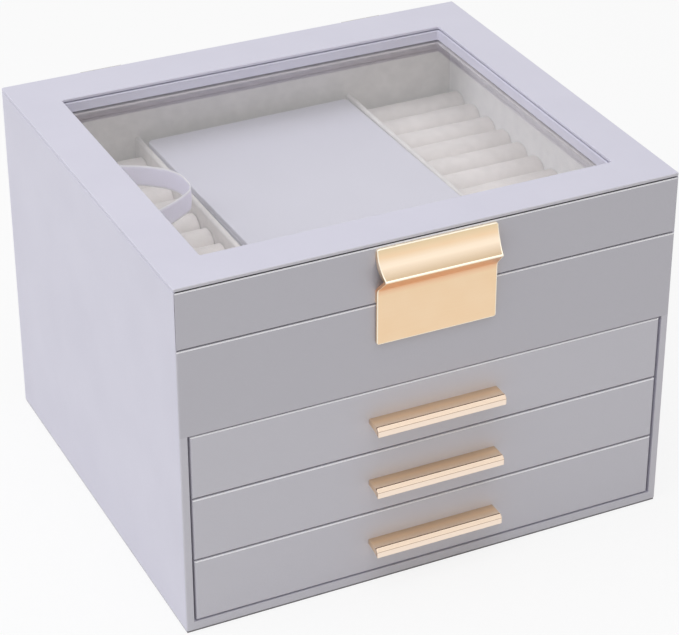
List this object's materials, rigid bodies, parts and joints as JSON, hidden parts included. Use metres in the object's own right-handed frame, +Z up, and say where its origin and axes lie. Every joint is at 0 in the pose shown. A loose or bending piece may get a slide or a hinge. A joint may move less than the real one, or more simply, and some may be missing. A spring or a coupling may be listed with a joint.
{
  "type": "tiered jewelry box",
  "caption": "Leatherette-covered jewelry box with a glass-window lid, a folded metal clasp, drawers with bar pulls, ring rolls, a lift-out travel case and a ribbon lid stay.",
  "frame": {"origin": "middle of the underside of the case, on the surface the box stands on", "axes": "+X to the right along the width, +Y from the front to the back, +Z up"},
  "size_m": [0.26, 0.2449, 0.188],
  "materials": {
    "leatherette": "smooth pale grey leatherette over board, satin",
    "leatherette_front": "smooth pale grey leatherette over board, satin",
    "velvet": "off-white velvet",
    "ring_velvet": "off-white velvet over foam",
    "tray_velvet": "velvet over board",
    "glass": "clear",
    "gold_metal": "satin champagne gold",
    "hinge_steel": "brushed",
    "screw_steel": "zinc plated",
    "magnet": "nickel plated",
    "ribbon": "grosgrain",
    "base_paper": "flocked paper"
  },
  "bodies": {
    "case": {"back_inner_wall": "velvet", "back_wall": "leatherette", "base_board": "leatherette", "bottom_sheet": "base_paper", "catch_magnets": "magnet", "cross_divider": "velvet", "deck": "velvet", "front_inner_wall": "velvet", "front_strip": "leatherette_front", "hinge_case_screws": "screw_steel", "hinge_left_case_leaf": "hinge_steel", "hinge_pins": "hinge_steel", "hinge_right_case_leaf": "hinge_steel", "left_divider": "velvet", "left_lining": "velvet", "left_wall": "leatherette", "lid_stay_ribbon": "ribbon", "right_divider": "velvet", "right_lining": "velvet", "right_wall": "leatherette", "ring_rolls_left": "ring_velvet", "ring_rolls_right": "ring_velvet", "shelf_1": "velvet", "shelf_2": "velvet", "well_lining": "velvet"},
    "lid": {"lid_top_plate": "leatherette", "lid_frame": "leatherette", "lid_front_strip": "leatherette_front", "lid_magnets": "magnet", "glass_pane": "glass", "glass_retainer": "velvet", "clasp": "gold_metal", "clasp_screws": "screw_steel", "hinge_left_lid_leaf": "hinge_steel", "hinge_right_lid_leaf": "hinge_steel", "hinge_lid_screws": "screw_steel"},
    "drawer_1": {"drawer_1_dividers": "velvet", "drawer_1_front": "leatherette_front", "drawer_1_pad": "velvet", "drawer_1_pull": "gold_metal", "drawer_1_pull_screws": "screw_steel", "drawer_1_tray": "tray_velvet"},
    "drawer_2": {"drawer_2_dividers": "velvet", "drawer_2_front": "leatherette_front", "drawer_2_pad": "velvet", "drawer_2_pull": "gold_metal", "drawer_2_pull_screws": "screw_steel", "drawer_2_tray": "tray_velvet"},
    "drawer_3": {"drawer_3_dividers": "velvet", "drawer_3_front": "leatherette_front", "drawer_3_pad": "velvet", "drawer_3_pull": "gold_metal", "drawer_3_pull_screws": "screw_steel", "drawer_3_tray": "tray_velvet"},
    "travel_case": {"travel_case_base": "leatherette", "travel_case_lid": "leatherette", "travel_case_lining": "velvet"}
  },
  "joints": [
    {"name": "lid_hinge", "type": "hinge", "parent": "case", "child": "lid", "pos_m": [0, 0.11745, 0.1855], "axis": [-1, 0, 0], "range_deg": [0, 95], "deforming": ["lid_stay_ribbon"]},
    {"name": "drawer_1_slide", "type": "slide", "parent": "case", "child": "drawer_1", "axis": [0, -1, 0], "range_m": [0, 0.15]},
    {"name": "drawer_2_slide", "type": "slide", "parent": "case", "child": "drawer_2", "axis": [0, -1, 0], "range_m": [0, 0.15]},
    {"name": "drawer_3_slide", "type": "slide", "parent": "case", "child": "drawer_3", "axis": [0, -1, 0], "range_m": [0, 0.15]},
    {"name": "travel_case_lift", "type": "slide", "parent": "case", "child": "travel_case", "axis": [0, 0, 1], "range_m": [0, 0.025]}
  ]
}
